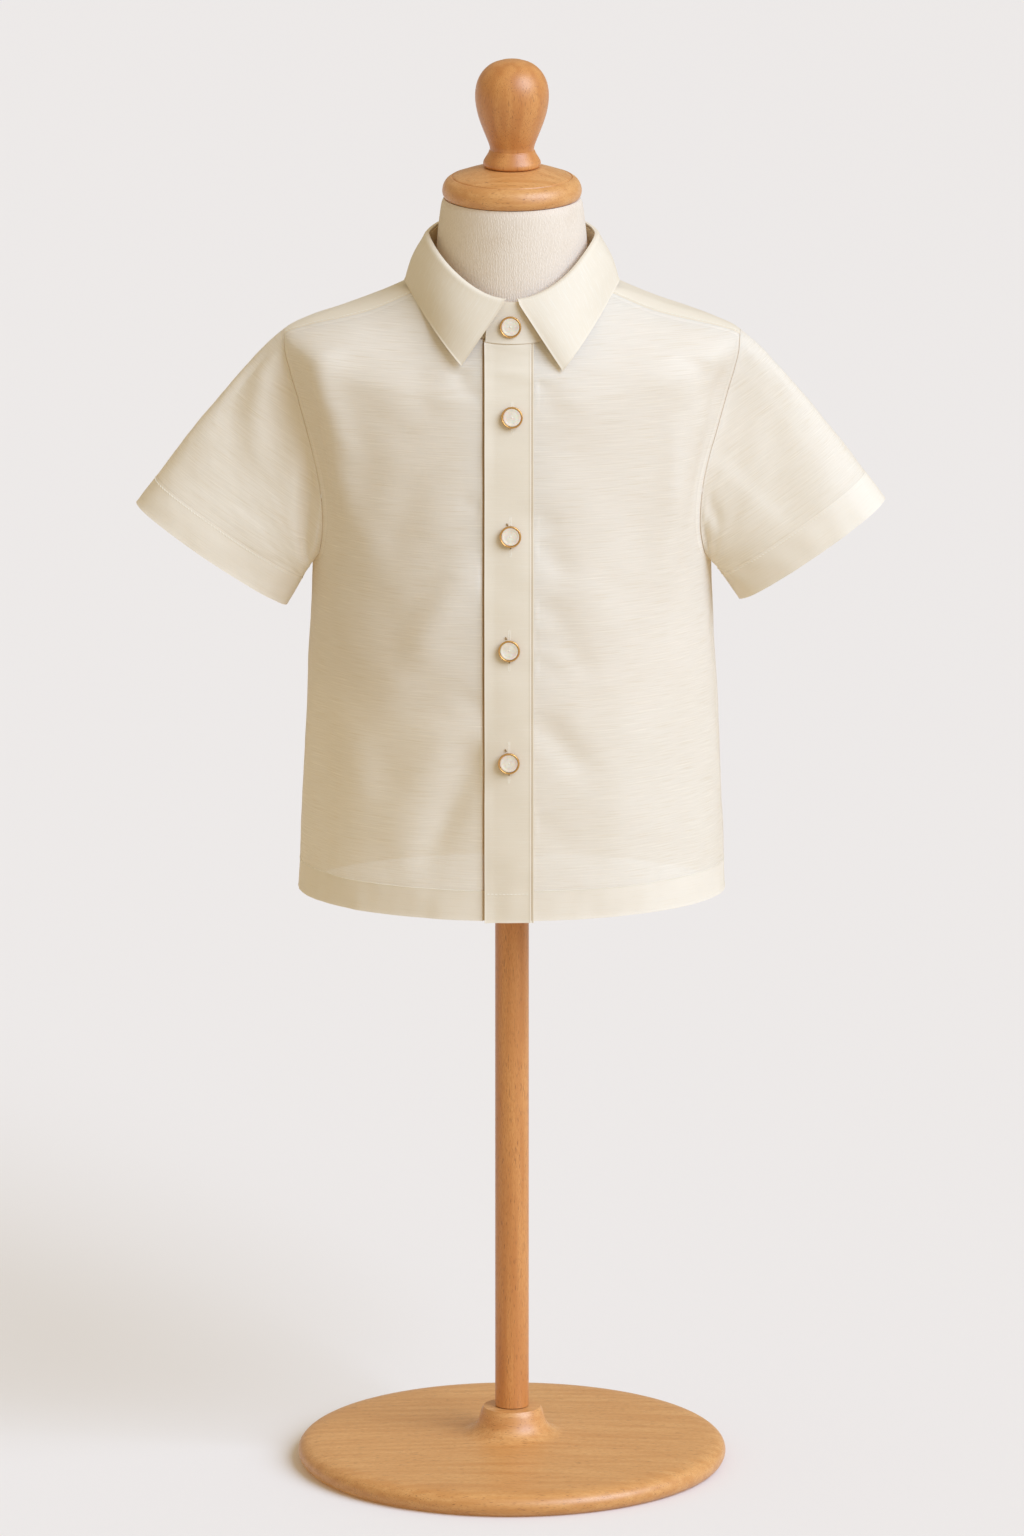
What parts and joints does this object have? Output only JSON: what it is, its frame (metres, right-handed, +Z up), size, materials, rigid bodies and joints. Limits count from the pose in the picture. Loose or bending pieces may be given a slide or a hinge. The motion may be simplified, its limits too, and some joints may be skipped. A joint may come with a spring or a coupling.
{
  "type": "barong tagalog shirt on a dress form",
  "caption": "Small child's short-sleeved barong shirt with a pointed collar and buttoned front placket, on a limbless dress form with a turned wooden cap, knob, pole and round base.",
  "frame": {"origin": "on the floor, at the centre of the base's underside, below the pole", "axes": "+Z up, the shirt's front faces -Y, the wearer's left side is +X"},
  "size_m": [0.4836, 0.28, 0.9368],
  "materials": {
    "sheer_cloth": "thin, slightly see-through plain weave with slubs across, cream",
    "collar_cloth": "the same cloth doubled and stiffened, cream, edge-stitched",
    "shell_and_gilt": "polished gold-coloured rim round a pale pearly face",
    "form_cover": "cream ribbed cotton stretched over the form",
    "beech": "turned wood, clear satin varnish"
  },
  "bodies": {
    "root": {"front_left": "sheer_cloth", "front_right": "sheer_cloth", "back": "sheer_cloth", "yoke": "sheer_cloth", "sleeve_left": "sheer_cloth", "sleeve_right": "sheer_cloth", "placket": "collar_cloth", "collar_stand": "collar_cloth", "collar_leaf": "collar_cloth", "button_1": "shell_and_gilt", "button_2": "shell_and_gilt", "button_3": "shell_and_gilt", "button_4": "shell_and_gilt", "button_5": "shell_and_gilt", "form_torso": "form_cover", "neck_cap": "beech", "neck_knob": "beech", "pole": "beech", "base": "beech"}
  },
  "joints": []
}
